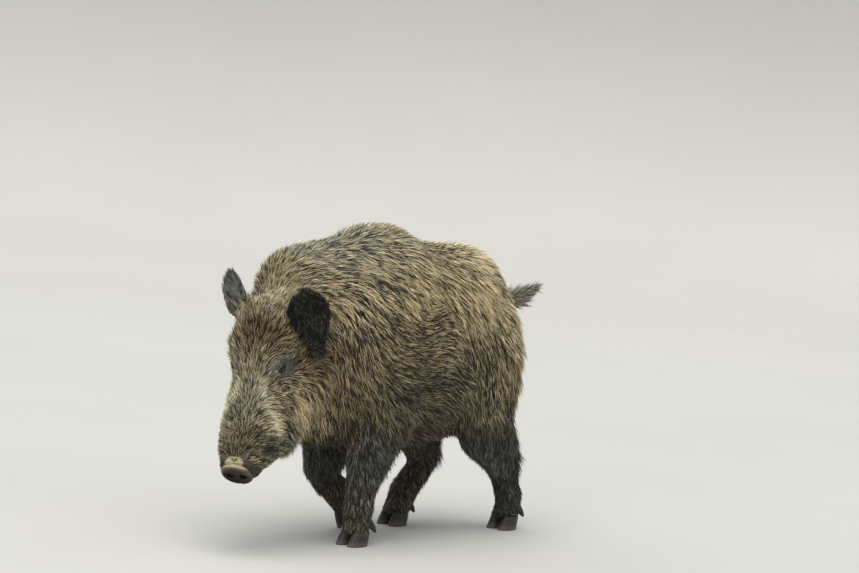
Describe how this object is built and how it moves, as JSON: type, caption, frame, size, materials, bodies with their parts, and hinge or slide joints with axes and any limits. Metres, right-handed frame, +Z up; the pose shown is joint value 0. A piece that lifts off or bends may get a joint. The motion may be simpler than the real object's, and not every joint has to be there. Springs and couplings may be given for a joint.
{
  "type": "wild boar",
  "caption": "Life-size wild boar in a grizzled winter coat, walking with its head low and turned to its left.",
  "frame": {"origin": "on the floor, under the middle of the box round the boar", "axes": "+Z up, the boar faces -Y, its left side is +X"},
  "size_m": [0.3564, 1.0922, 0.7377],
  "materials": {
    "coat": "coarse grizzled bristle coat, straw tips over dark brown",
    "dark_coat": "short near-black bristle on legs, ears and tail",
    "nose_skin": "damp bare skin of the nose disc",
    "horn": "worn dark hoof horn",
    "eyeball": "wet dark brown eye"
  },
  "bodies": {
    "root": {"trunk": "coat", "neck": "coat", "head": "coat", "nose": "nose_skin", "ear_left": "dark_coat", "ear_right": "dark_coat", "eye_left": "eyeball", "eye_right": "eyeball", "tail": "dark_coat", "foreleg_left": "dark_coat", "foreleg_right": "dark_coat", "hindleg_left": "dark_coat", "hindleg_right": "dark_coat", "hoof_left_foreleg_left": "horn", "hoof_right_foreleg_left": "horn", "hoof_left_foreleg_right": "horn", "hoof_right_foreleg_right": "horn", "hoof_left_hindleg_left": "horn", "hoof_right_hindleg_left": "horn", "hoof_left_hindleg_right": "horn", "hoof_right_hindleg_right": "horn", "dewclaw_left_foreleg_left": "horn", "dewclaw_right_foreleg_left": "horn", "dewclaw_left_foreleg_right": "horn", "dewclaw_right_foreleg_right": "horn", "dewclaw_left_hindleg_left": "horn", "dewclaw_right_hindleg_left": "horn", "dewclaw_left_hindleg_right": "horn", "dewclaw_right_hindleg_right": "horn"}
  },
  "joints": []
}
